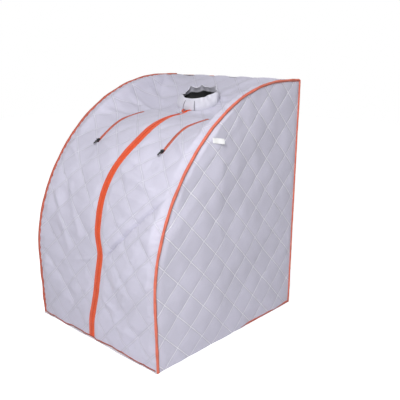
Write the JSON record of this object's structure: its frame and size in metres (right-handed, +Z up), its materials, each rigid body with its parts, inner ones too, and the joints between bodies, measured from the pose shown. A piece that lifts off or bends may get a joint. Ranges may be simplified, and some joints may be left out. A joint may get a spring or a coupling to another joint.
{
  "type": "portable steam sauna",
  "caption": "Folding fabric sauna cabin with arched sides, a zipped front that opens as two doors, zipped hand slots and a gathered neck collar.",
  "frame": {"origin": "on the floor, at the middle of the tent's nominal width and depth", "axes": "+X to the right as seen from the front, +Y to the rear, +Z up; the zipped front faces -Y"},
  "size_m": [0.7096, 0.8195, 0.9845],
  "materials": {
    "cloth": "quilted woven, pale lavender grey",
    "floor_cloth": "coated woven, off white",
    "binding": "woven tape, salmon orange",
    "zip_tape": "woven tape, bright orange",
    "zip_coil": "moulded coil",
    "bright_metal": "nickel plated",
    "dark_metal": "dark enamel",
    "pole_steel": "grey powder coat",
    "corner_plastic": "moulded",
    "port_plastic": "moulded",
    "label_cloth": "woven tag, blank white"
  },
  "bodies": {
    "tent": {"arch_binding_left": "binding", "arch_binding_right": "binding", "arch_rod_left": "pole_steel", "arch_rod_right": "pole_steel", "back_wall": "cloth", "floor_sheet": "floor_cloth", "foot_binding_left": "binding", "foot_binding_right": "binding", "front_corner_left": "corner_plastic", "front_corner_right": "corner_plastic", "front_floor_bar": "pole_steel", "hand_zip_left_coil": "zip_coil", "hand_zip_left_tape": "zip_tape", "hand_zip_right_coil": "zip_coil", "hand_zip_right_tape": "zip_tape", "neck_collar": "cloth", "rear_binding_left": "binding", "rear_binding_right": "binding", "rear_floor_bar": "pole_steel", "rear_lower_corner_left": "corner_plastic", "rear_lower_corner_right": "corner_plastic", "rear_post_left": "pole_steel", "rear_post_right": "pole_steel", "rear_top_bar": "pole_steel", "rear_top_binding": "binding", "rear_upper_corner_left": "corner_plastic", "rear_upper_corner_right": "corner_plastic", "roof_panel": "cloth", "roof_zip_coil": "zip_coil", "roof_zip_tape": "zip_tape", "side_label": "label_cloth", "side_rail_left": "pole_steel", "side_rail_right": "pole_steel", "side_wall_left": "cloth", "side_wall_right": "cloth", "steam_port": "port_plastic", "steam_port_nut": "port_plastic"},
    "door_left": {"door_panel_left": "cloth", "door_zip_tape_left": "zip_tape", "door_zip_coil_left": "zip_coil", "door_hem_left": "binding"},
    "door_right": {"door_panel_right": "cloth", "door_zip_tape_right": "zip_tape", "door_zip_coil_right": "zip_coil", "door_hem_right": "binding"},
    "main_slider": {"main_zip_slider": "bright_metal"},
    "main_pull": {"main_zip_pull": "bright_metal"},
    "hand_slider_left": {"hand_zip_slider_left": "dark_metal"},
    "hand_slider_right": {"hand_zip_slider_right": "dark_metal"},
    "hand_pull_left": {"hand_zip_pull_left": "dark_metal"},
    "hand_pull_right": {"hand_zip_pull_right": "dark_metal"},
    "collar_flap": {"collar_tab": "cloth"}
  },
  "joints": [
    {"name": "door_left_hinge", "type": "hinge", "parent": "tent", "child": "door_left", "pos_m": [-0.3434, -0.411, 0], "axis": [0, 0, 1], "range_deg": [-105, 0]},
    {"name": "door_right_hinge", "type": "hinge", "parent": "tent", "child": "door_right", "pos_m": [0.3434, -0.411, 0], "axis": [0, 0, 1], "range_deg": [0, 105]},
    {"name": "main_zip_travel", "type": "hinge", "parent": "tent", "child": "main_slider", "pos_m": [0, 0.07263, 0.38497], "axis": [1, 0, 0], "range_deg": [0, 60]},
    {"name": "main_pull_swing", "type": "hinge", "parent": "main_slider", "child": "main_pull", "pos_m": [0, 0.06788, 0.84846], "axis": [1, 0, 0], "range_deg": [-150, 0]},
    {"name": "collar_tab_peel", "type": "hinge", "parent": "tent", "child": "collar_flap", "pos_m": [-0.024, 0.10318, 0.85307], "axis": [0, 0.0024, 1], "range_deg": [-105, 0]},
    {"name": "hand_zip_travel_left", "type": "hinge", "parent": "tent", "child": "hand_slider_left", "pos_m": [-0.185, 0.07263, 0.38497], "axis": [1, 0, 0], "range_deg": [-32, 0]},
    {"name": "hand_pull_swing_left", "type": "hinge", "parent": "hand_slider_left", "child": "hand_pull_left", "pos_m": [-0.185, -0.21774, 0.74626], "axis": [1, 0, 0], "range_deg": [-150, 0]},
    {"name": "hand_zip_travel_right", "type": "hinge", "parent": "tent", "child": "hand_slider_right", "pos_m": [0.185, 0.07263, 0.38497], "axis": [1, 0, 0], "range_deg": [-32, 0]},
    {"name": "hand_pull_swing_right", "type": "hinge", "parent": "hand_slider_right", "child": "hand_pull_right", "pos_m": [0.185, -0.21774, 0.74626], "axis": [1, 0, 0], "range_deg": [-150, 0]}
  ]
}
